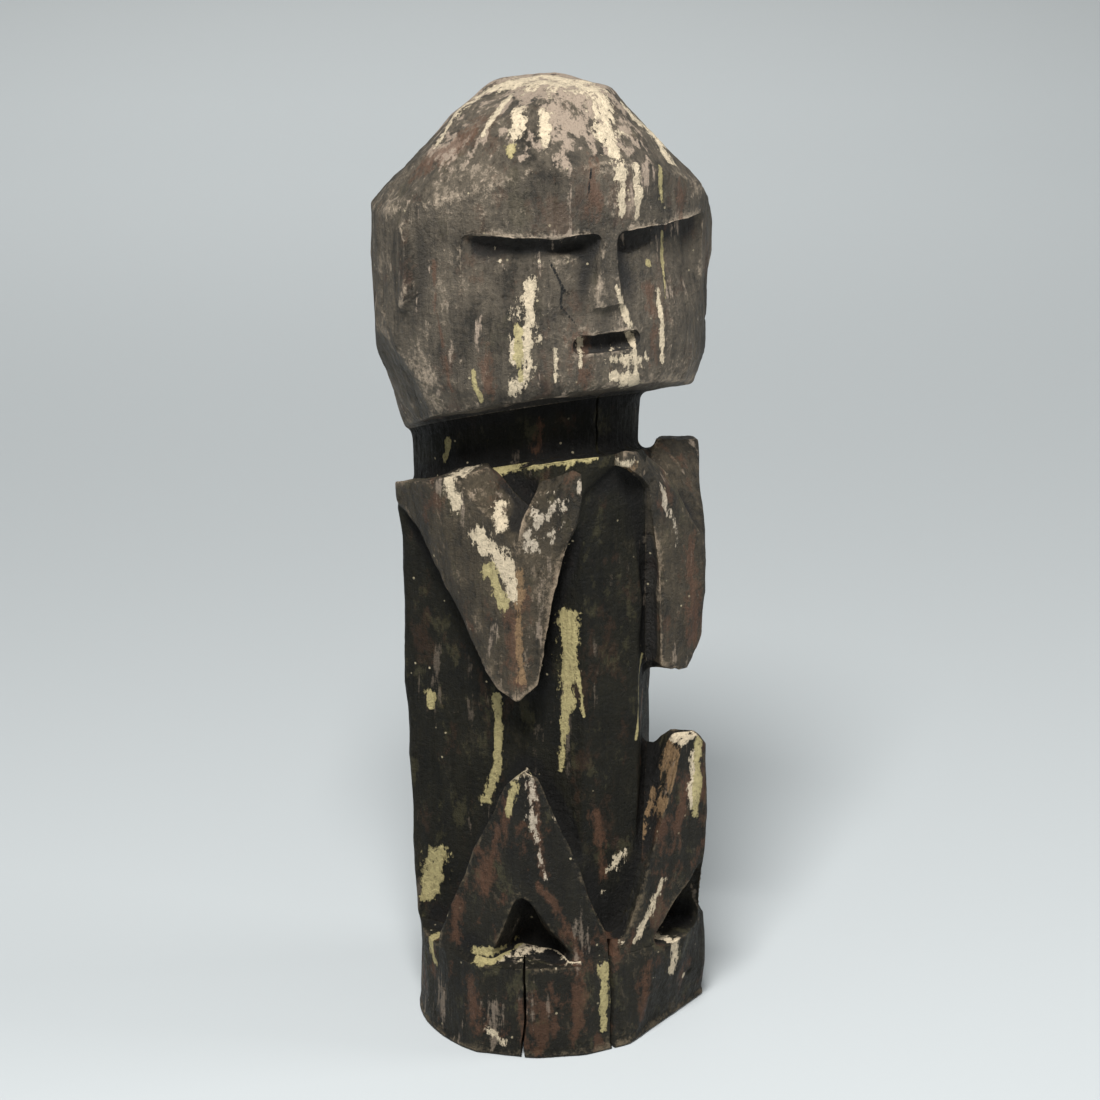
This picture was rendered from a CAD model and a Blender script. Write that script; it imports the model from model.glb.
import math
import bmesh
import bpy
import numpy as np
from mathutils import Euler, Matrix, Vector


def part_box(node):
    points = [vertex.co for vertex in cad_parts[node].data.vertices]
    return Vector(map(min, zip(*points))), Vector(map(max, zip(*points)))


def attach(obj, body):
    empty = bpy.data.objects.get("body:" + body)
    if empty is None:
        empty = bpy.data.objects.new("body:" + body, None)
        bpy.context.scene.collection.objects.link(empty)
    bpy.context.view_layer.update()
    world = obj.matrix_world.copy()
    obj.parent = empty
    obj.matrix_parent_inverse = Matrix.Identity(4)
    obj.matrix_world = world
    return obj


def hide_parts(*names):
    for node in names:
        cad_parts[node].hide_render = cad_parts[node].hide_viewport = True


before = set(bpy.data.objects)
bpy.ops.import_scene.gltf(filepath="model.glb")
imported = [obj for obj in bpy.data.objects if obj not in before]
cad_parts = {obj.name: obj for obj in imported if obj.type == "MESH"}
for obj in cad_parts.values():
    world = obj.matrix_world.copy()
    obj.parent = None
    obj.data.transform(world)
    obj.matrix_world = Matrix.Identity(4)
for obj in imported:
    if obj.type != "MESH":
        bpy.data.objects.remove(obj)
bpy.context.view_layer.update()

mm = 0.001
print("frame loaded:", len(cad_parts), "carved members")

cameraStand = {
    "turn": 27.7,       # degrees round towards the figure's right hand
    "distance": 1.518,  # level metres from the log's middle
    "height": 0.740,
    "tip": 17.7,        # degrees down
    "aside": 0.007,     # metres that the camera stands to its own left
    "lens": 101.2,
}


def makeCamera():
    turn = math.radians(cameraStand["turn"])
    right = Vector((math.cos(turn), -math.sin(turn), 0))
    away = Vector((-math.sin(turn), -math.cos(turn), 0)) * cameraStand["distance"]
    camera = bpy.data.objects.new("camera", bpy.data.cameras.new("camera"))
    camera.location = away - right * cameraStand["aside"] + Vector((0, 0, cameraStand["height"]))
    camera.rotation_euler = Euler((math.radians(90 - cameraStand["tip"]), 0, -turn))
    camera.data.lens = cameraStand["lens"]
    camera.data.sensor_width = 36
    bpy.context.scene.collection.objects.link(camera)
    bpy.context.scene.camera = camera


# the log's own lines, in mm: places on the wedge-shaped front are given as
# (place back along the side, how far proud of it, height)
logLines = {
    "frontHalfWidth": 17.5,
    "frontDepth": 53.0,
    "sideAngle": 57.0,
    "shoulderHeight": 305.0,
    "shoulderSlope": 0.34,
    "neckGap": 28.5,
    "elbowPlace": 26.0,
    "kneePlace": 22.0,
    "armsFrom": 180.0,   # arms are above this height, legs below
    "headMiddle": (-3.0, 19.0),
    "headHalves": (90.5, 75.0),
    "neckMiddle": (-3.0, 36.0),
    "neckRadius": 60.0,
    "seamGap": 0.4,      # how far proud of the trunk it is parted from the limbs
    "cornerShare": 0.55,  # how far the front corner moves aside for each mm that it moves proud
}


def sidePoint(side, place, proud, height=0.0):
    # Point in metres; side is -1 on the figure's right and 1 on its left.
    angle = math.radians(logLines["sideAngle"])
    x = logLines["frontHalfWidth"] + place * math.cos(angle) + proud * math.sin(angle)
    y = place * math.sin(angle) - logLines["frontDepth"] - proud * math.cos(angle)
    return Vector((side * x, y, height)) * mm


def newObject(name, mesh):
    obj = bpy.data.objects.new(name, mesh)
    bpy.context.scene.collection.objects.link(obj)
    return obj


def bmeshToObject(name, shape):
    mesh = bpy.data.meshes.new(name)
    shape.to_mesh(mesh)
    shape.free()
    return newObject(name, mesh)


def dropObject(obj):
    mesh = obj.data
    bpy.data.objects.remove(obj)
    bpy.data.meshes.remove(mesh)


def applyModifiers(obj):
    # Turns the object with its modifiers into plain mesh.
    graph = bpy.context.evaluated_depsgraph_get()
    graph.update()
    mesh = bpy.data.meshes.new_from_object(obj.evaluated_get(graph))
    obj.modifiers.clear()
    old = obj.data
    obj.data = mesh
    bpy.data.meshes.remove(old)
    return obj


def combine(obj, cutter, operation):
    # Boolean of two closed meshes; the cutter is used up.
    step = obj.modifiers.new("combine", "BOOLEAN")
    step.operation = operation
    step.solver = "MANIFOLD"
    step.object = cutter
    applyModifiers(obj)
    dropObject(cutter)
    return obj


def readPoints(mesh):
    flat = np.empty(len(mesh.vertices) * 3, np.float32)
    mesh.vertices.foreach_get("co", flat)
    return flat.reshape(-1, 3).astype(float)


def cadCopy(name):
    # Closed bmesh of one carved member.
    shape = bmesh.new()
    shape.from_mesh(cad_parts[name].data)
    bmesh.ops.remove_doubles(shape, verts=shape.verts, dist=0.01 * mm)
    return shape


def shaveOff(shape, a, b, c, keep):
    # Cuts flat through three points and keeps the side that holds the fourth.
    normal = (b - a).cross(c - a).normalized()
    if (keep - a).dot(normal) > 0:
        normal.negate()
    everything = list(shape.verts) + list(shape.edges) + list(shape.faces)
    bmesh.ops.bisect_plane(shape, geom=everything, plane_co=a, plane_no=normal,
                           clear_outer=True, dist=1e-6)
    rim = [edge for edge in shape.edges if edge.is_boundary]
    bmesh.ops.holes_fill(shape, edges=rim, sides=0)


def prism(name, corners, low, high):
    # Upright prism over corners in plan; low and high are heights, or functions of the corner.
    shape = bmesh.new()
    rings = []
    for level in (low, high):
        rings.append([shape.verts.new((x, y, level(y) if callable(level) else level)) for x, y in corners])
    count = len(corners)
    shape.faces.new(list(reversed(rings[0])))
    shape.faces.new(rings[1])
    for i in range(count):
        j = (i + 1) % count
        shape.faces.new((rings[0][i], rings[0][j], rings[1][j], rings[1][i]))
    bmesh.ops.recalc_face_normals(shape, faces=shape.faces)
    return bmeshToObject(name, shape)


def patchSolid(name, rows):
    # Closed solid between an inner and an outer grid of points: rows[i][j] is a pair of them.
    shape = bmesh.new()
    inner = [[shape.verts.new(pair[0]) for pair in row] for row in rows]
    outer = [[shape.verts.new(pair[1]) for pair in row] for row in rows]
    tall = len(rows)
    wide = len(rows[0])
    for i in range(tall - 1):
        for j in range(wide - 1):
            shape.faces.new((inner[i][j], inner[i + 1][j], inner[i + 1][j + 1], inner[i][j + 1]))
            shape.faces.new((outer[i][j], outer[i][j + 1], outer[i + 1][j + 1], outer[i + 1][j]))
    for j in range(wide - 1):
        for i in (0, tall - 1):
            shape.faces.new((inner[i][j], inner[i][j + 1], outer[i][j + 1], outer[i][j]))
    for i in range(tall - 1):
        for j in (0, wide - 1):
            shape.faces.new((inner[i][j], outer[i][j], outer[i + 1][j], inner[i + 1][j]))
    bmesh.ops.recalc_face_normals(shape, faces=shape.faces)
    return bmeshToObject(name, shape)


armFlats = {
    # (place, proud, height) of two points along the upper arm's ridge and one on its rear edge
    "right": ((80, 22, 306), (45, 22, 214), (91, 9, 268)),
    "left": ((84, 22, 306), (50, 26, 216), (93, 8, 268)),
}


def bevelUpperArm(shape, side):
    a, b, c = [sidePoint(side, *point) for point in armFlats["right" if side < 0 else "left"]]
    shaveOff(shape, a, b, c, sidePoint(side, 40, 5, 270))


faceCut = {
    "brow": 430.5,      # height of the brow's lower edge
    "fade": 378.0,      # where the cheeks run out to the full round of the head
    "deep": 9.0,        # under the brow
    "wide": 50.0,       # degrees each side of the nose
    "noseTop": 5.0,     # half widths
    "noseFoot": 9.0,
    "noseFootHeight": 394.0,
    "flank": 3.2,       # across the nose's side
    "edge": 9.0,        # degrees over which the cut fades at its sides
    "curve": 0.8,       # below 1 the cheek bulges
    "clear": 14.0,      # how far the cutter stands out of the head
    "rows": 26,
}


def faceDepth(angle, height):
    # How deep the face is cut back here, in mm.
    cut = faceCut
    share = (height - cut["fade"]) / (cut["brow"] - cut["fade"])
    aside = abs(math.sin(math.radians(angle))) * logLines["headHalves"][0]
    noseShare = (cut["brow"] - height) / (cut["brow"] - cut["noseFootHeight"])
    half = cut["noseTop"] + (cut["noseFoot"] - cut["noseTop"]) * min(max(noseShare, 0), 1)
    flank = min(max((aside - half) / cut["flank"], 0), 1)
    edge = min(max((cut["wide"] - abs(angle)) / cut["edge"], 0), 1)
    if height < cut["noseFootHeight"]:
        flank = 1
    return cut["deep"] * max(share, 0) ** cut["curve"] * flank * math.sqrt(edge)


def faceRows():
    # Hollows the face under a straight brow and leaves the nose standing.
    cut = faceCut
    middle = logLines["headMiddle"]
    halves = logLines["headHalves"]
    heights = np.linspace(cut["fade"], cut["brow"], cut["rows"])
    rows = []
    for height in heights:
        row = []
        for angle in np.arange(-cut["wide"], cut["wide"] + 0.1, 1.0):
            turn = math.radians(angle)
            pair = []
            for out in (-faceDepth(angle, height) + 0.02, cut["clear"]):
                x = middle[0] + (halves[0] + out) * math.sin(turn)
                y = middle[1] - (halves[1] + out) * math.cos(turn)
                pair.append(Vector((x, y, height)) * mm)
            row.append(pair)
        rows.append(row)
    return rows


headFacets = {
    # three points (across, back, height) of each flat; first those behind the jaw
    "right": ((-91, 12.5, 371), (-80, -15, 339), (-70, 30, 324)),
    "left": ((95, 12.5, 364), (88, -16, 336), (80, 30, 320)),
    "leftEar": ((85.2, -1, 400), (91.9, 19, 400), (85.2, -1, 440)),
    "rightEar": ((-93.4, 0, 400), (-93.4, 40, 400), (-93.4, 0, 440)),
    # the carver's last cut on the crown, on the figure's right
    "crown": ((-57, -20, 479), (-60, 20, 478), (-28, 0, 494.5)),
}
headKeep = (0, 20, 400)


def facetHead(shape):
    for facet in headFacets.values():
        a, b, c = [Vector(point) * mm for point in facet]
        shaveOff(shape, a, b, c, Vector(headKeep) * mm)


limbFlats = {
    # (place, proud, height) on the upper arm's edge beside the notch
    "upperNotch": ((60, 22, 307), (31, 22, 280), (45, 8, 305)),
    "upperKeep": (80, 5, 250),
    # (across, back, height) on the forearm's edge beside the notch
    "foreNotch": ((10, -61, 322), (46, -51, 283), (30, -44, 311)),
    "foreKeep": (12, -57, 270),
    # (across, back, height) along the shin's inner arris, carried back through the thigh
    "knee": ((41, -40, 164), (24, -40, 116), (24, -10, 116)),
    "kneeKeep": (60, -20, 100),
    # blunt outer corners of the left elbow and knee
    "leftElbow": ((60, -48, 214), (50, -52, 201), (66, -15, 214)),
    "elbowKeep": (40, -40, 250),
    "leftKnee": ((59, -52, 156), (49, -54, 168), (66, -25, 157)),
    "leftKneeKeep": (40, -40, 110),
    # the foot of the base is drawn in on the figure's left
    "base": ((8, -63, 0), (72, -28.5, 0), (46, -55.5, 56)),
}


def flip(point, side):
    return Vector((point[0] * side, point[1], point[2])) * mm


def flattenLimb(shape, name, side):
    flats = limbFlats
    if name.endswith("upper_arm"):
        bevelUpperArm(shape, side)
        corners = [sidePoint(side, *point) for point in flats["upperNotch"]]
        shaveOff(shape, *corners, sidePoint(side, *flats["upperKeep"]))
    if name.endswith("forearm"):
        corners = [flip(point, side) for point in flats["foreNotch"]]
        shaveOff(shape, *corners, flip(flats["foreKeep"], side))
    if name.endswith("thigh"):
        corners = [flip(point, side) for point in flats["knee"]]
        shaveOff(shape, *corners, flip(flats["kneeKeep"], side))
    if name in ("left_upper_arm", "left_forearm"):
        corners = [flip(point, 1) for point in flats["leftElbow"]]
        shaveOff(shape, *corners, flip(flats["elbowKeep"], 1))
    if name in ("left_thigh", "left_shin"):
        corners = [flip(point, 1) for point in flats["leftKnee"]]
        shaveOff(shape, *corners, flip(flats["leftKneeKeep"], 1))
    if name == "base":
        corners = [flip(point, 1) for point in flats["base"]]
        shaveOff(shape, *corners, Vector((0, 0, 20)) * mm)


sculptPlan = {
    "voxel": 1.2,     # mm
    "wearBody": 18,   # passes that wear the arrises down before the face is cut
    "wearFace": 3,    # and after it
    "wornReach": 16,  # how many points wide the rubbed arrises are
    "hollowReach": 60,
}


firstCheckSeed = 7
dryingChecks = [
    # ((across, back) of the mouth, (across, back) of the root, wide in mm, low, high)
    ((-3, -70), (-4, -36), 2.6, -5, 62),
    ((-53, -58), (-38, -30), 2.2, -5, 51),
    ((8, -30), (6, -2), 1.6, 310, 352),
]


def checkSolid(plan, seed):
    # a crack that wanders a little on its way up
    mouth, root, wide, low, high = plan
    rng = np.random.default_rng(seed)
    shape = bmesh.new()
    along = Vector((root[0] - mouth[0], root[1] - mouth[1], 0)).normalized()
    across = Vector((along.y, -along.x, 0))
    rings = []
    drift = 0
    for height in np.linspace(low, high, 14):
        drift = drift * 0.7 + rng.normal(0, 0.35)
        half = wide / 2 * (0.8 + 0.35 * rng.random())
        start = Vector((mouth[0], mouth[1], height)) + across * drift
        stop = Vector((root[0], root[1], height)) + across * drift
        corners = [start - across * half, start + across * half, stop + across * 0.2, stop - across * 0.2]
        rings.append([shape.verts.new(corner * mm) for corner in corners])
    for lower, upper in zip(rings, rings[1:]):
        for i in range(4):
            j = (i + 1) % 4
            shape.faces.new((lower[i], lower[j], upper[j], upper[i]))
    shape.faces.new(rings[0])
    shape.faces.new(rings[-1])
    bmesh.ops.recalc_face_normals(shape, faces=shape.faces)
    return bmeshToObject("cutter", shape)


def roughOut():
    # One closed mesh of the whole figure.
    joined = bmesh.new()
    for name in sorted(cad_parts):
        shape = cadCopy(name)
        side = -1 if name.startswith("right") else 1
        flattenLimb(shape, name, side)
        if name == "head":
            facetHead(shape)
        mesh = bpy.data.meshes.new(name)
        shape.to_mesh(mesh)
        shape.free()
        joined.from_mesh(mesh)
        bpy.data.meshes.remove(mesh)
    figure = bmeshToObject("figure", joined)
    remesh(figure)
    return figure


def remesh(figure):
    step = figure.modifiers.new("even", "REMESH")
    step.mode = "VOXEL"
    step.voxel_size = sculptPlan["voxel"] * mm
    applyModifiers(figure)


def soften(figure, passes):
    step = figure.modifiers.new("soften", "SMOOTH")
    step.factor = 0.5
    step.iterations = passes
    applyModifiers(figure)


carverMarks = {
    "facetSize": 0.021,   # metres between one knife cut and the next
    "facetDepth": 0.0024,
    "wave": 0.0010,       # slow hollows
    "grain": 0.0007,      # upright furrows where the soft wood has gone
    "pit": 0.0011,
    "seed": 4.0,
}


class Tree:
    # short hand for building a node tree
    def __init__(self, tree):
        self.tree = tree

    def node(self, kind, links=None, **settings):
        item = self.tree.nodes.new(kind)
        for key, value in settings.items():
            setattr(item, key, value)
        for socket, source in (links or {}).items():
            self.join(source, item.inputs[socket])
        return item

    def join(self, source, target):
        if isinstance(source, bpy.types.NodeSocket):
            self.tree.links.new(source, target)
        elif isinstance(source, bpy.types.Node):
            self.tree.links.new(source.outputs[0], target)
        else:
            target.default_value = source

    def math(self, operation, a, b=0.0, c=None):
        item = self.node("ShaderNodeMath", {0: a, 1: b}, operation=operation)
        if c is not None:
            self.join(c, item.inputs[2])
        return item.outputs[0]

    def stretch(self, value, low, high, outLow=0.0, outHigh=1.0):
        # straight ramp, clamped
        item = self.node("ShaderNodeMapRange", {0: value, 1: low, 2: high, 3: outLow, 4: outHigh})
        return item.outputs[0]

    def scaled(self, vector, factors):
        return self.node("ShaderNodeVectorMath", {0: vector, 1: factors}, operation="MULTIPLY").outputs[0]

    def noise(self, vector, scale, detail=3.0, rough=0.55, w=0.0):
        item = self.node("ShaderNodeTexNoise", noise_dimensions="4D")
        self.join(vector, item.inputs["Vector"])
        self.join(scale, item.inputs["Scale"])
        self.join(w, item.inputs["W"])
        item.inputs["Detail"].default_value = detail
        item.inputs["Roughness"].default_value = rough
        return item.outputs[0]

    def cells(self, vector, scale):
        item = self.node("ShaderNodeTexVoronoi", feature="F1")
        self.join(vector, item.inputs["Vector"])
        self.join(scale, item.inputs["Scale"])
        item.inputs["Randomness"].default_value = 1.0
        return item.outputs["Distance"]

    def mix(self, share, a, b):
        item = self.node("ShaderNodeMix", data_type="RGBA")
        self.join(share, item.inputs["Factor"])
        for key, value in (("A", a), ("B", b)):
            socket = [s for s in item.inputs if s.name == key and s.type == "RGBA"][0]
            self.join((*value, 1.0) if isinstance(value, tuple) else value, socket)
        return [s for s in item.outputs if s.type == "RGBA"][0]


def carverTree(material):
    # knife facets, slow hollows, open grain and pits, all cut inwards from the surface
    group = bpy.data.node_groups.new("carverMarks", "GeometryNodeTree")
    group.interface.new_socket("Geometry", in_out="INPUT", socket_type="NodeSocketGeometry")
    for key in carverMarks:
        group.interface.new_socket(key, in_out="INPUT", socket_type="NodeSocketFloat")
    group.interface.new_socket("Geometry", in_out="OUTPUT", socket_type="NodeSocketGeometry")
    tree = Tree(group)
    given = tree.node("NodeGroupInput")
    want = {socket.name: socket for socket in given.outputs if socket.name}
    place = tree.node("GeometryNodeInputPosition").outputs[0]
    normal = tree.node("GeometryNodeInputNormal").outputs[0]
    flat = tree.scaled(place, (1.0, 1.0, 0.55))
    perMetre = tree.math("DIVIDE", 1.0, want["facetSize"])
    bent = tree.node("ShaderNodeVectorMath", {0: flat}, operation="ADD")
    drift = tree.node("ShaderNodeTexNoise", noise_dimensions="4D")
    tree.join(place, drift.inputs["Vector"])
    tree.join(want["seed"], drift.inputs["W"])
    drift.inputs["Scale"].default_value = 30.0
    tree.join(tree.scaled(drift.outputs["Color"], (0.012, 0.012, 0.012)), bent.inputs[1])
    facet = tree.math("POWER", tree.cells(bent.outputs[0], perMetre), 2.0)
    wave = tree.stretch(tree.noise(place, 14.0, 2.0, 0.5, want["seed"]), 0.35, 0.65)
    furrows = tree.noise(tree.scaled(place, (1.0, 1.0, 0.07)), 260.0, 3.0, 0.6, want["seed"])
    furrows = tree.stretch(furrows, 0.5, 0.72)
    upright = tree.node("ShaderNodeSeparateXYZ", {0: normal}).outputs[2]
    lying = tree.stretch(tree.math("ABSOLUTE", upright), 0.5, 0.9, 1.0, 0.3)
    furrows = tree.math("MULTIPLY", furrows, lying)
    pits = tree.stretch(tree.noise(place, 170.0, 2.0, 0.5, want["seed"]), 0.66, 0.76)
    depth = tree.math("MULTIPLY", tree.stretch(facet, 0.0, 0.8, 1.0, 0.0), want["facetDepth"])
    depth = tree.math("MULTIPLY_ADD", wave, want["wave"], depth)
    depth = tree.math("MULTIPLY_ADD", furrows, want["grain"], depth)
    depth = tree.math("MULTIPLY_ADD", pits, want["pit"], depth)
    foot = tree.node("ShaderNodeSeparateXYZ", {0: place}).outputs[2]
    depth = tree.math("MULTIPLY", depth, tree.stretch(foot, 0.0005, 0.003))
    inward = tree.math("MULTIPLY", depth, -1.0)
    offset = tree.node("ShaderNodeVectorMath", {0: normal}, operation="SCALE")
    tree.join(inward, offset.inputs["Scale"])
    moved = tree.node("GeometryNodeSetPosition")
    tree.join(want["Geometry"], moved.inputs["Geometry"])
    tree.join(offset.outputs[0], moved.inputs["Offset"])
    real = tree.node("GeometryNodeRealizeInstances", {0: moved.outputs[0]})
    coated = tree.node("GeometryNodeSetMaterial", {0: real.outputs[0]})
    coated.inputs["Material"].default_value = material
    leaving = tree.node("NodeGroupOutput")
    tree.join(coated.outputs[0], leaving.inputs[0])
    return group


def carveMarks(figure, material):
    group = carverTree(material)
    step = figure.modifiers.new("carverMarks", "NODES")
    step.node_group = group
    for item in group.interface.items_tree:
        if item.in_out == "INPUT" and item.name in carverMarks:
            step[item.identifier] = carverMarks[item.name]
    applyModifiers(figure)


def underJaw(y):
    line = logLines
    return (line["shoulderHeight"] + line["neckGap"]) * mm - line["shoulderSlope"] * y


def shoulderPlane(y):
    line = logLines
    return line["shoulderHeight"] * mm - line["shoulderSlope"] * y


def wedgePlan(gap):
    # Plan of everything behind the wedge-shaped front, gap mm proud of it, as (x, y) corners.
    far = 400 * mm
    corners = []
    front = -(logLines["frontDepth"] + gap) * mm
    for side in (-1, 1):
        back = sidePoint(side, 300, gap)
        aside = logLines["frontHalfWidth"] + gap * logLines["cornerShare"]
        corners.append([(side * aside * mm, front), (back.x, back.y)])
    right, left = corners
    return [right[0], left[0], left[1], (left[1][0], far), (right[1][0], far), right[1]]


def limbPlan(side, place, front):
    # Plan of what stands proud of the torso on one side, in front of the limb's bend or behind it.
    gap = logLines["seamGap"]
    far = 300
    bendIn = sidePoint(side, place, gap)
    bendOut = sidePoint(side, place, far)
    if front:
        edge = (logLines["frontHalfWidth"] + gap * logLines["cornerShare"]) * side * mm
        line = -(logLines["frontDepth"] + gap) * mm
        return [(0, line), (0, -far * mm), (bendOut.x, bendOut.y), (bendIn.x, bendIn.y), (edge, line)]
    rearIn = sidePoint(side, far, gap)
    rearOut = sidePoint(side, far, far)
    return [(bendIn.x, bendIn.y), (bendOut.x, bendOut.y), (rearOut.x, rearOut.y), (rearIn.x, rearIn.y)]


def regions():
    # Name and closed cutter of each member.
    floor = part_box("base")[1].z
    low = -50 * mm
    high = 700 * mm
    wide = 500 * mm
    square = [(-wide, -wide), (wide, -wide), (wide, wide), (-wide, wide)]
    yield "base", prism("cutter", square, low, floor)
    yield "head", prism("cutter", square, underJaw, high)
    yield "neck", prism("cutter", wedgePlan(logLines["seamGap"]), shoulderPlane, underJaw)
    yield "torso", prism("cutter", wedgePlan(logLines["seamGap"]), floor, shoulderPlane)
    split = logLines["armsFrom"] * mm
    for sideName, side in (("right", -1), ("left", 1)):
        arm = logLines["elbowPlace"]
        leg = logLines["kneePlace"]
        yield f"{sideName}_upper_arm", prism("cutter", limbPlan(side, arm, False), split, underJaw)
        yield f"{sideName}_forearm", prism("cutter", limbPlan(side, arm, True), split, underJaw)
        yield f"{sideName}_thigh", prism("cutter", limbPlan(side, leg, False), floor, split)
        yield f"{sideName}_shin", prism("cutter", limbPlan(side, leg, True), floor, split)


def largestIsland(obj):
    # Keeps the biggest connected part; flakes at the cut planes go.
    shape = bmesh.new()
    shape.from_mesh(obj.data)
    seen = set()
    islands = []
    for start in shape.verts:
        if start.index in seen:
            continue
        stack = [start]
        seen.add(start.index)
        island = []
        while stack:
            vert = stack.pop()
            island.append(vert)
            for edge in vert.link_edges:
                other = edge.other_vert(vert)
                if other.index not in seen:
                    seen.add(other.index)
                    stack.append(other)
        islands.append(island)
    islands.sort(key=len, reverse=True)
    for island in islands[1:]:
        bmesh.ops.delete(shape, geom=island, context="VERTS")
    shape.to_mesh(obj.data)
    shape.free()
    return len(islands)


def splitFigure(figure):
    pieces = {}
    for name, cutter in regions():
        piece = newObject("carved_" + name, figure.data.copy())
        combine(piece, cutter, "INTERSECT")
        islands = largestIsland(piece)
        piece.data.shade_smooth()
        print("  ", name, len(piece.data.vertices), "points,", islands, "islands")
        pieces[name] = piece
    return pieces


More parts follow.
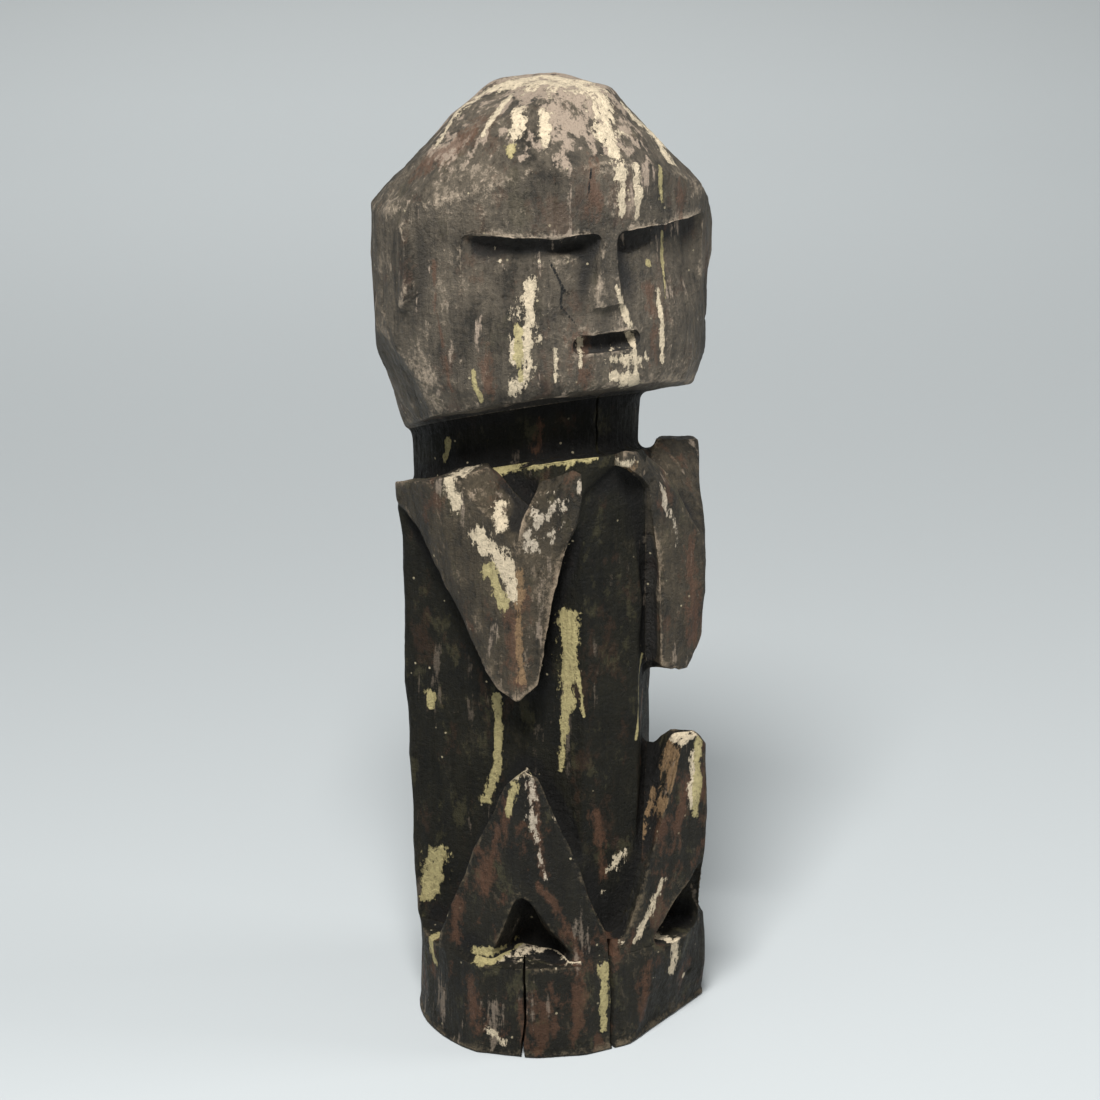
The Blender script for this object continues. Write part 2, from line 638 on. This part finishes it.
paintMarks = {
    # a mark is a run of (along, height, half width) in mm; along is named per region below
    "head": {  # along: degrees round from the face's middle towards the figure's left
        "cream": [
            [(6, 500, 6), (10, 492, 10), (7, 480, 11), (3, 470, 7)],
            [(34, 484, 5), (42, 474, 8), (37, 462, 6)],
            [(-95, 494, 5), (-60, 499, 6), (-20, 500, 5), (20, 499, 6)],
            [(-100, 488, 6), (-84, 470, 3)],
            [(-40, 487, 5), (-39, 479, 5), (-40, 473, 2)],
            [(-26, 487, 5), (-26, 475, 3)],
            [(-55, 490, 4), (-55, 478, 2)],
            [(4, 463, 4.5), (4, 440, 3)],
            [(11, 462, 3.4), (12, 439, 2.8)],
            [(-31, 409, 3.4), (-32, 392, 9), (-34, 371, 5)],
            [(-38, 381, 5), (-33, 367, 8), (-37, 357, 5)],
            [(4, 368, 6), (16, 367, 7)],
            [(3, 361, 5), (14, 353, 6)],
            [(3, 405, 2.2), (8, 390, 2.4), (13, 376, 2), (13, 351, 3)],
            [(26, 398, 2.4), (27, 362, 1.8)],
            [(-46, 425, 1.6)], [(-44, 419, 1.4)], [(-48, 421, 1.0)], [(-28, 419, 1.4)], [(-27, 415, 1.0)],
            [(-12, 380, 3), (-12, 367, 2.5)],
            [(-22, 376, 2), (-22, 360, 2)],
        ],
        "ochre": [
            [(24, 458, 3), (24, 445, 2.4)],
            [(34, 425, 1.7), (32, 408, 1.5), (30, 394, 1)],
            [(23, 412, 2.8)],
            [(-40, 473, 4)],
            [(-36, 388, 3), (-35, 362, 2.4)],
            [(-52, 365, 2), (-50, 350, 2)],
        ],
        "red": [
            [(35, 450, 4), (37, 427, 3)],
            [(-66, 418, 1.8), (-65, 395, 1.7), (-60, 354, 1.1)],
            [(-7, 464, 7), (-7, 441, 6)],
            [(-12, 381, 8), (-11, 360, 7)],
            [(-83, 459, 8), (-63, 479, 8)],
            [(22, 400, 5), (22, 362, 5)],
            [(-48, 380, 4), (-46, 355, 5)],
        ],
        "crack": [
            [(-24, 419, 1.1), (-19, 406, 1.3), (-20, 397, 1.1), (-14, 388, 0.8)],
            [(-19, 406, 1.0), (-16, 402, 0.7)],
            [(-8, 464, 1.1), (-10, 450, 0.8)],
        ],
    },
    "front": {  # forearms and shins; along: across the figure
        "cream": [
            [(-10, 318, 5), (6, 316, 4)],
            [(-42, 160, 6), (-47, 158, 6)],
            [(-32, 132, 2.6)],
            [(30, 87, 3), (21, 73, 3.4), (10, 58, 3.4)],
            [(2, 59, 2.4)],
            [(50, 152, 5), (47, 126, 5)],
            [(40, 160, 3), (52, 165, 4)],
        ],
        "chalk": [
            [(-44, 282, 3), (-38, 289, 6), (-29, 297, 6), (-17, 308, 4)],
            [(-40, 276, 8), (-30, 284, 6)],
            [(26, 301, 3), (32, 286, 4), (38, 268, 2.6)],
            [(-45, 160, 5), (-43, 130, 4), (-37, 98, 2)],
        ],
        "rust": [
            [(-47, 264, 3.4), (-47, 236, 3.2), (-46, 206, 3)],
            [(40, 160, 1.6), (34, 136, 1.4), (24, 116, 1.5), (16, 104, 2.4)],
            [(-10, 316, 6), (8, 314, 5)],
        ],
        "ochre": [
            [(-12, 325, 2.2), (-7, 326, 1.6)],
            [(-6, 312, 2.8), (-5, 300, 1.2)],
            [(52, 158, 4), (50, 118, 3)],
        ],
        "red": [
            [(-44, 152, 4), (-38, 100, 3)],
            [(-41, 96, 2.6), (-31, 82, 3), (-21, 56, 2.6)],
            [(-14, 92, 4), (-6, 73, 5), (-2, 54, 4)],
            [(46, 140, 7), (36, 104, 6)],
            [(-49, 250, 8), (-49, 205, 8)],
            [(46, 270, 6), (50, 215, 8)],
        ],
    },
    "side": {  # upper arms and thighs; along: back along the side, negative on the figure's left
        "cream": [
            [(64, 307, 7), (62, 291, 5)],
            [(41, 294, 3), (36, 284, 4)],
            [(47, 277, 8), (36, 268, 10), (29, 252, 7)],
            [(24, 158, 6), (30, 152, 3)],
            [(-36, 298, 4)],
        ],
        "rust": [
            [(26, 262, 3.4), (26, 236, 3.4), (25, 206, 3)],
        ],
        "ochre": [
            [(42, 262, 6), (34, 244, 5)],
            [(26, 151, 4), (29, 136, 3)],
            [(40, 55, 3), (50, 54, 3)],
            [(44, 306, 2), (52, 312, 2)],
        ],
        "red": [
            [(28, 240, 9), (27, 205, 7)],
            [(30, 140, 6), (44, 90, 6)],
            [(60, 80, 5), (62, 60, 6)],
            [(-40, 250, 12), (-34, 215, 10)],
        ],
    },
    "trunk": {  # along: across the figure
        "cream": [
            [(7, 105, 4), (2, 97, 4)],
            [(-4, 84, 2.4)],
        ],
        "ochre": [
            [(-43, 186, 2.2), (-43, 150, 2), (-47, 126, 2.2)],
            [(-21, 238, 4), (-21, 203, 3.4), (-22, 172, 1.6), (-23, 152, 1.3)],
            [(-18, 208, 1.4), (-16, 184, 1.2)],
            [(22, 208, 1.6), (15, 166, 1.4)],
            [(-66, 182, 2.0), (-66, 173, 1.6)],
            [(-63, 92, 5), (-67, 64, 4)],
            [(-9, 322, 2.4), (-21, 317, 2.6), (-31, 313, 2.6), (-41, 308, 2.8), (-54, 303, 2.4)],
            [(-43, 310, 2.4), (-45, 299, 1.6)],
        ],
        "red": [
            [(-8, 130, 4), (-4, 95, 5)],
            [(30, 180, 5), (26, 150, 5)],
        ],
    },
    "neck": {  # along: degrees round from the front
        "ochre": [[(-70, 318, 3), (-74, 306, 2)]],
        "red": [[(-20, 330, 4), (-22, 316, 4)]],
    },
    "base": {  # along: degrees round from the front towards the figure's left
        "cream": [
            [(-58, 51, 1.4), (-38, 52, 1.4), (-20, 52, 1.2)],
            [(-58, 12, 4), (-54, 7, 3)],
            [(35, 50, 5), (36, 32, 4)],
            [(20, 34, 2.4)], [(50, 22, 2)],
        ],
        "ochre": [
            [(-8, 47, 4), (-7, 30, 3.4), (-8, 12, 2.6)],
            [(-66, 51, 3), (-58, 52, 2)],
            [(-96, 52, 4), (-92, 38, 3)],
        ],
        "red": [
            [(-46, 31, 3), (-45, 6, 3)],
            [(-20, 44, 8), (-22, 12, 7)],
            [(15, 40, 7), (14, 12, 6)],
            [(-68, 40, 7), (-64, 14, 6)],
        ],
    },
}
markKinds = ("red", "rust", "chalk", "cream", "ochre", "crack")


def markField(along, height, perUnit, strokes):
    # 1 along the middle of a mark, 0 at its edge, less further out
    best = np.full(len(along), -4.0)
    for stroke in strokes:
        pairs = list(zip(stroke, stroke[1:])) or [(stroke[0], stroke[0])]
        for (a0, z0, w0), (a1, z1, w1) in pairs:
            du = (along - a0) * perUnit
            dz = height - z0
            su = (a1 - a0) * perUnit
            sz = z1 - z0
            share = np.clip((du * su + dz * sz) / (su * su + sz * sz + 1e-9), 0, 1)
            apart = np.hypot(du - share * su, dz - share * sz)
            best = np.maximum(best, 1 - apart / (w0 + (w1 - w0) * share))
    return best


def paintRegion(name, points):
    # which set of marks a member takes, and its points' places in that set's terms
    x, y, z = [points[:, i] / mm for i in range(3)]
    one = np.ones(len(x))
    if name == "head":
        across = x - logLines["headMiddle"][0]
        back = y - logLines["headMiddle"][1]
        radius = np.maximum(np.hypot(across, back), 12)
        return "head", np.degrees(np.arctan2(across, -back)), z, radius * math.pi / 180
    if name == "base":
        return "base", np.degrees(np.arctan2(x, -y)), z, np.hypot(x, y) * math.pi / 180
    if name.endswith("forearm") or name.endswith("shin"):
        return "front", x, z, one
    if name.endswith("upper_arm") or name.endswith("thigh"):
        angle = math.radians(logLines["sideAngle"])
        back = (np.abs(x) - logLines["frontHalfWidth"]) * math.cos(angle)
        back = back + (y + logLines["frontDepth"]) * math.sin(angle)
        return "side", back * (-1 if name.startswith("left") else 1), z, one
    if name == "neck":
        across = x - logLines["neckMiddle"][0]
        back = y - logLines["neckMiddle"][1]
        perDegree = math.radians(logLines["neckRadius"])
        return "neck", np.degrees(np.arctan2(across, -back)), z, one * perDegree
    return "trunk", x, z, one


def bendOf(mesh, points, reach):
    # plus on worn arrises and minus in hollows, from how the normals spread over the surface
    count = len(points)
    edges = np.empty(len(mesh.edges) * 2, np.int32)
    mesh.edges.foreach_get("vertices", edges)
    edges = edges.reshape(-1, 2)
    normals = np.empty(count * 3, np.float32)
    mesh.vertices.foreach_get("normal", normals)
    normals = normals.reshape(-1, 3).astype(float)
    a, b = edges[:, 0], edges[:, 1]
    step = points[b] - points[a]
    length = np.linalg.norm(step, axis=1) + 1e-9
    turn = np.einsum("ij,ij->i", normals[b] - normals[a], step) / (length * length)
    total = np.bincount(a, turn, count) + np.bincount(b, turn, count)
    links = np.bincount(a, minlength=count) + np.bincount(b, minlength=count)
    bend = total / np.maximum(links, 1) * mm
    for _ in range(reach):
        near = np.bincount(a, bend[b], count) + np.bincount(b, bend[a], count)
        bend = 0.4 * bend + 0.6 * near / np.maximum(links, 1)
    return bend


def setField(mesh, name, values):
    layer = mesh.attributes.new(name, "FLOAT", "POINT")
    layer.data.foreach_set("value", np.asarray(values, np.float32))


def markWood(figure):
    # done on the whole figure, so that the fields run on from one member to the next
    points = readPoints(figure.data)
    setField(figure.data, "worn", bendOf(figure.data, points, sculptPlan["wornReach"]))
    setField(figure.data, "hollow", bendOf(figure.data, points, sculptPlan["hollowReach"]))


def paintPiece(name, piece):
    points = readPoints(piece.data)
    region, along, height, perUnit = paintRegion(name, points)
    for kind in markKinds:
        strokes = paintMarks[region].get(kind, [])
        setField(piece.data, kind, markField(along, height, perUnit, strokes))


woodLooks = {
    # dark, mid and worn are the wood's own colors; spill is how much stray limewash there is
    "darkWood": {
        "dark": (0.005, 0.0048, 0.003), "mid": (0.014, 0.0125, 0.007), "worn": (0.085, 0.068, 0.039),
        "wornFrom": 0.12, "spill": 0.22, "warm": 0.22, "olive": 0.35,
        "gloss": 0.16, "flake": 0.3,
    },
    "footWood": {
        "dark": (0.007, 0.0062, 0.004), "mid": (0.02, 0.0175, 0.0105), "worn": (0.125, 0.096, 0.06),
        "wornFrom": 0.07, "spill": 0.45, "warm": 0.65, "olive": 0.45,
        "gloss": 0.22, "flake": 0.55,
    },
    "armWood": {
        "dark": (0.014, 0.0115, 0.007), "mid": (0.078, 0.06, 0.037), "worn": (0.29, 0.22, 0.15),
        "wornFrom": 0.07, "spill": 0.55, "warm": 0.6, "olive": 0.3,
        "gloss": 0.3, "flake": 0.75,
    },
    "limedWood": {
        "dark": (0.022, 0.018, 0.012), "mid": (0.14, 0.113, 0.08), "worn": (0.42, 0.335, 0.245),
        "wornFrom": 0.05, "spill": 0.9, "warm": 0.35, "olive": 0.2,
        "gloss": 0.38, "flake": 0.95,
    },
}
paintLooks = {
    # low and high: how far noise draws the edge in and pushes it out, as shares of the half width
    "red": {"color": (0.13, 0.062, 0.034), "low": -1.4, "high": 0.9, "soft": 0.6, "full": 0.65},
    "rust": {"color": (0.32, 0.20, 0.10), "low": -1.4, "high": 0.6, "soft": 0.3, "full": 0.75},
    "chalk": {"color": (0.64, 0.54, 0.41), "low": -2.2, "high": 0.75, "soft": 0.2, "full": 0.85},
    "cream": {"color": (0.76, 0.63, 0.44), "low": -1.5, "high": 0.75, "soft": 0.14, "full": 0.95},
    "ochre": {"color": (0.50, 0.42, 0.20), "low": -1.1, "high": 0.6, "soft": 0.14, "full": 0.92},
}
woodTints = {
    "oldRed": (0.092, 0.044, 0.024),
    "grime": (0.080, 0.070, 0.034),
    "sunk": (0.007, 0.0065, 0.006),
    "limewash": (0.36, 0.28, 0.21),
    "droplet": (0.50, 0.42, 0.27),
    "dirt": (0.014, 0.012, 0.009),
    "crack": (0.003, 0.003, 0.002),
}
grainScales = {"cloud": 30.0, "streak": 260.0, "speck": 380.0, "crumbs": 1100.0}
bumpPlan = {"strength": 0.75, "distance": 0.0030}


def field(tree, name):
    return tree.node("ShaderNodeAttribute", attribute_name=name).outputs["Fac"]


def makeWood(name, seed):
    look = woodLooks[name]
    material = bpy.data.materials.new(name)
    material.use_nodes = True
    tree = Tree(material.node_tree)
    shader = material.node_tree.nodes["Principled BSDF"]
    place = tree.node("ShaderNodeTexCoord").outputs["Object"]
    tall = tree.scaled(place, (1.0, 1.0, 0.12))
    cloud = tree.noise(place, grainScales["cloud"], 6.0, 0.66, seed)
    streak = tree.noise(tall, grainScales["streak"], 5.0, 0.68, seed + 3)
    speck = tree.noise(place, grainScales["speck"], 5.0, 0.72, seed + 5)
    crumbs = tree.noise(place, grainScales["crumbs"], 3.0, 0.7, seed + 6)
    tone = tree.math("MULTIPLY_ADD", streak, 0.45, tree.math("MULTIPLY", cloud, 0.75))
    tone = tree.math("MULTIPLY_ADD", speck, 0.45, tone)
    color = tree.mix(tree.stretch(tone, 0.70, 0.97), look["dark"], look["mid"])
    # scuffs where the skin of the patina has flaked to paler wood
    flake = tree.noise(tree.scaled(place, (1.0, 1.0, 0.5)), 120.0, 6.0, 0.8, seed + 30)
    flake = tree.math("ADD", flake, tree.stretch(cloud, 0.3, 0.7, -0.09, 0.09))
    flake = tree.math("MULTIPLY", tree.stretch(flake, 0.60, 0.64), look["flake"])
    color = tree.mix(flake, color, tuple(part * 0.62 for part in look["worn"]))
    # patches of old red and of green-brown grime
    patchy = tree.scaled(place, (1.0, 1.0, 0.6))
    warm = tree.stretch(tree.noise(patchy, 46.0, 7.0, 0.76, seed + 9), 0.545, 0.60)
    color = tree.mix(tree.math("MULTIPLY", warm, look["warm"]), color, woodTints["oldRed"])
    olive = tree.stretch(tree.noise(patchy, 58.0, 7.0, 0.76, seed + 44), 0.56, 0.61)
    color = tree.mix(tree.math("MULTIPLY", olive, look["olive"]), color, woodTints["grime"])
    worn = tree.math("ADD", field(tree, "worn"), tree.stretch(cloud, 0.3, 0.7, -0.10, 0.08))
    worn = tree.math("ADD", worn, tree.stretch(speck, 0.3, 0.7, -0.09, 0.09))
    worn = tree.stretch(worn, look["wornFrom"], look["wornFrom"] + 0.10)
    color = tree.mix(worn, color, look["worn"])
    sunk = tree.stretch(field(tree, "hollow"), -0.035, -0.005, 0.85, 0.0)
    color = tree.mix(sunk, color, woodTints["sunk"])
    # stray runs of old limewash
    runs = tree.noise(tree.scaled(place, (1.0, 1.0, 0.14)), 150.0, 4.0, 0.62, seed + 12)
    where = tree.noise(place, 19.0, 2.0, 0.5, seed + 15)
    stray = tree.math("ADD", runs, tree.stretch(where, 0.35, 0.68, -0.14, 0.14))
    stray = tree.math("ADD", stray, tree.stretch(speck, 0.3, 0.7, -0.06, 0.06))
    # the crown is washed palest, where the rain and the limewash met
    high = tree.node("ShaderNodeSeparateXYZ", {0: place}).outputs[2]
    stray = tree.math("ADD", stray, tree.stretch(high, 0.445, 0.49, 0.0, 0.24))
    stray = tree.math("MULTIPLY", tree.stretch(stray, 0.66, 0.72), look["spill"])
    color = tree.mix(stray, color, woodTints["limewash"])
    bare = tree.noise(tree.scaled(place, (1.0, 1.0, 0.45)), 190.0, 6.0, 0.75, seed + 20)
    # droplets flung from the brush
    drops = tree.cells(place, 160.0)
    chosen = tree.noise(place, 55.0, 1.0, 0.5, seed + 26)
    drops = tree.math("MULTIPLY", tree.stretch(drops, 0.12, 0.09), tree.stretch(chosen, 0.57, 0.6))
    color = tree.mix(tree.math("MULTIPLY", drops, 0.75), color, woodTints["droplet"])
    coat = 0.0
    for key, paint in paintLooks.items():
        edge = tree.stretch(bare, 0.28, 0.72, paint["low"], paint["high"])
        edge = tree.math("ADD", edge, tree.stretch(speck, 0.3, 0.7, -0.35, 0.35))
        cover = tree.math("ADD", field(tree, key), edge)
        cover = tree.stretch(cover, 0.0, paint["soft"], 0.0, paint["full"])
        shade = tree.mix(tree.stretch(speck, 0.35, 0.7), paint["color"],
                         tuple(part * 0.6 for part in paint["color"]))
        color = tree.mix(cover, color, shade)
        if key in ("cream", "ochre"):
            coat = tree.math("MAXIMUM", coat, cover)
    dirt = tree.math("MULTIPLY_ADD", crumbs, 0.5, tree.math("MULTIPLY", speck, 0.5))
    dirt = tree.stretch(dirt, 0.54, 0.64, 0.0, 0.7)
    color = tree.mix(dirt, color, woodTints["dirt"])
    crack = tree.math("ADD", field(tree, "crack"), tree.stretch(speck, 0.3, 0.7, -0.3, 0.3))
    color = tree.mix(tree.stretch(crack, 0.3, 0.6), color, woodTints["crack"])
    tree.join(color, shader.inputs["Base Color"])
    rough = tree.stretch(speck, 0.35, 0.65, 0.42, 0.8)
    tree.join(rough, shader.inputs["Roughness"])
    shader.inputs["Specular IOR Level"].default_value = look["gloss"]
    relief = tree.math("MULTIPLY_ADD", streak, 1.1, tree.math("MULTIPLY", speck, 1.2))
    relief = tree.math("MULTIPLY_ADD", crumbs, 0.25, relief)
    relief = tree.math("MULTIPLY_ADD", coat, 0.35, relief)
    bump = tree.node("ShaderNodeBump")
    bump.inputs["Strength"].default_value = bumpPlan["strength"]
    bump.inputs["Distance"].default_value = bumpPlan["distance"]
    tree.join(relief, bump.inputs["Height"])
    tree.join(bump.outputs[0], shader.inputs["Normal"])
    return material


studioPlan = {
    # metres
    "halfWidth": 6.0,
    "front": -12.0,
    "bendFrom": 2.5,
    "bendRadius": 1.5,
    "bendSteps": 8,
    "top": 5.0,
    "paper": (0.50, 0.525, 0.53),
    "paperAbove": (0.36, 0.375, 0.375),
    "paperBlend": 0.22,
    "sky": (0.80, 0.86, 0.88),
    "skyStrength": 0.27,
}
studioLamps = {
    # place, what it is aimed at, size in metres, watts
    "softTop": ((-0.7, -0.95, 1.85), (0, 0, 0.25), 0.6, 64),
    "fillRight": ((1.7, -0.9, 1.1), (0, 0, 0.25), 0.8, 13),
    "backdropWash": ((0.9, 2.2, 2.4), (1.8, 4.2, 0.3), 2.2, 52),
}


def paperMaterial():
    # Pale on the floor and darker up the backdrop.
    plan = studioPlan
    material = bpy.data.materials.new("studioPaper")
    material.use_nodes = True
    tree = Tree(material.node_tree)
    shader = material.node_tree.nodes["Principled BSDF"]
    place = tree.node("ShaderNodeTexCoord").outputs["Object"]
    rise = tree.node("ShaderNodeSeparateXYZ", {0: place}).outputs[2]
    share = tree.stretch(rise, 0.0, plan["paperBlend"])
    tree.join(tree.mix(share, plan["paper"], plan["paperAbove"]), shader.inputs["Base Color"])
    shader.inputs["Roughness"].default_value = 0.9
    return material


def makeFloor():
    # Floor that bends up into a backdrop, turned to face the camera.
    plan = studioPlan
    shape = bmesh.new()
    bend = plan["bendFrom"]
    radius = plan["bendRadius"]
    profile = [(plan["front"], 0.0), (bend, 0.0)]
    for i in range(1, plan["bendSteps"] + 1):
        angle = math.radians(i * 90 / plan["bendSteps"])
        profile.append((bend + math.sin(angle) * radius, radius - math.cos(angle) * radius))
    profile.append((bend + radius, plan["top"]))
    turn = math.radians(-cameraStand["turn"])
    rows = []
    for x in (-plan["halfWidth"], plan["halfWidth"]):
        row = []
        for y, z in profile:
            point = Vector((x, y, z))
            point.rotate(Euler((0, 0, turn)))
            row.append(shape.verts.new(point))
        rows.append(row)
    for i in range(len(profile) - 1):
        shape.faces.new((rows[0][i], rows[1][i], rows[1][i + 1], rows[0][i + 1]))
    floor = bmeshToObject("studio_floor", shape)
    floor.data.shade_smooth()
    floor.data.materials.append(paperMaterial())


def makeLamps():
    for name, (place, target, size, power) in studioLamps.items():
        lamp = bpy.data.lights.new(name, "AREA")
        lamp.shape = "SQUARE"
        lamp.size = size
        lamp.energy = power
        obj = bpy.data.objects.new(name, lamp)
        obj.location = place
        direction = Vector(target) - Vector(place)
        obj.rotation_euler = direction.to_track_quat("-Z", "Y").to_euler()
        bpy.context.scene.collection.objects.link(obj)


def makeStudio():
    makeFloor()
    world = bpy.data.worlds.new("studio")
    world.use_nodes = True
    background = world.node_tree.nodes["Background"]
    background.inputs["Color"].default_value = (*studioPlan["sky"], 1)
    background.inputs["Strength"].default_value = studioPlan["skyStrength"]
    bpy.context.scene.world = world
    makeLamps()
    bpy.context.scene.view_settings.view_transform = "Standard"


finishes = {
    # wood and material slot of each member
    "head": ("limedWood", "limed_wood"),
    "neck": ("darkWood", "dark_wood"),
    "torso": ("darkWood", "dark_wood"),
    "base": ("footWood", "dark_wood"),
}
limbFinishes = {"arm": ("armWood", "worn_wood"), "leg": ("footWood", "worn_wood")}

makeCamera()
makeStudio()
print("studio set up")
figure = roughOut()
print("roughed out:", len(figure.data.vertices), "points")
soften(figure, sculptPlan["wearBody"])
combine(figure, patchSolid("cutter", faceRows()), "DIFFERENCE")
remesh(figure)
soften(figure, sculptPlan["wearFace"])
print("face cut")
woods = {name: makeWood(name, seed) for seed, name in enumerate(woodLooks, start=1)}
print("materials made:", ", ".join(woods))
markWood(figure)
carveMarks(figure, woods["darkWood"])
print("carver's marks cut")
for number, plan in enumerate(dryingChecks):
    combine(figure, checkSolid(plan, number + firstCheckSeed), "DIFFERENCE")
print("drying checks opened")
pieces = splitFigure(figure)
dropObject(figure)
for name, piece in pieces.items():
    paintPiece(name, piece)
    wood, slot = finishes.get(name, limbFinishes["arm" if "arm" in name else "leg"])
    piece.data.materials.clear()
    piece.data.materials.append(woods[wood])
    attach(piece, "root")
    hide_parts(name)
print("painted", len(pieces), "members")
